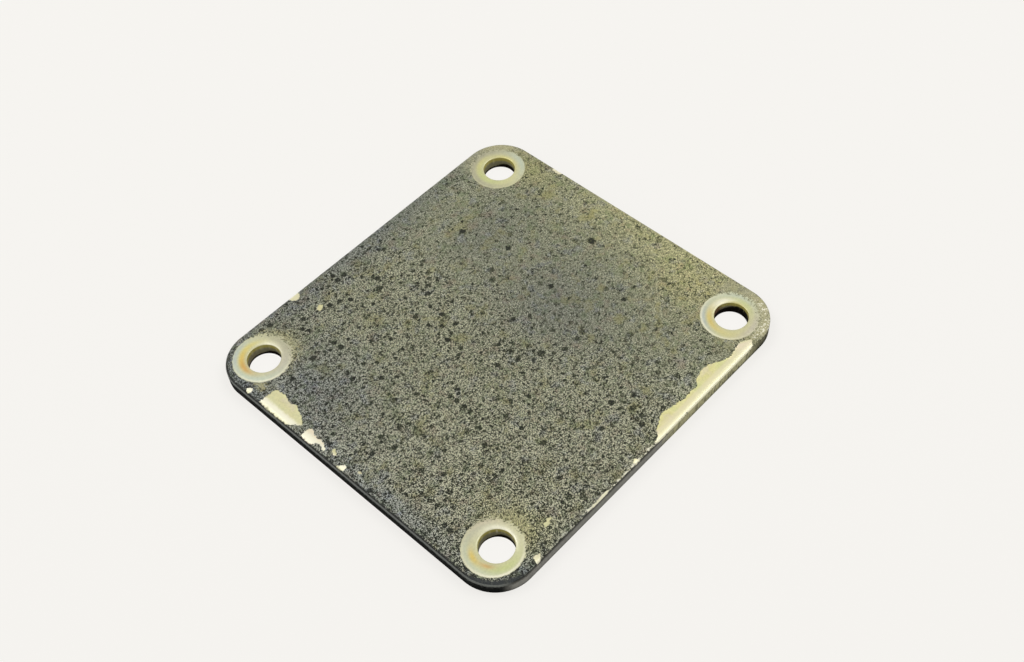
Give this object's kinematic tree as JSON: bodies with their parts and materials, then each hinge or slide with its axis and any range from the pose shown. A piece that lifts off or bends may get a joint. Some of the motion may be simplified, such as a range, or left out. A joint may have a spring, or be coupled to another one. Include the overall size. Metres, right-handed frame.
{
  "type": "rectangular cover plate",
  "caption": "Flat near-square cover plate with rounded corners and bolt holes near its corners, blanked from steel sheet.",
  "frame": {"origin": "centre of the underside, midway between the bolt holes", "axes": "+Z out of the painted outer face, +X along the longer side"},
  "size_m": [0.111, 0.104, 0.004],
  "materials": {
    "worn_paint": "thin speckled olive-grey paint, chipped to yellow zinc plating at the edges and bare in a ring at each hole"
  },
  "bodies": {
    "root": {"cover_plate": "worn_paint"}
  },
  "joints": []
}
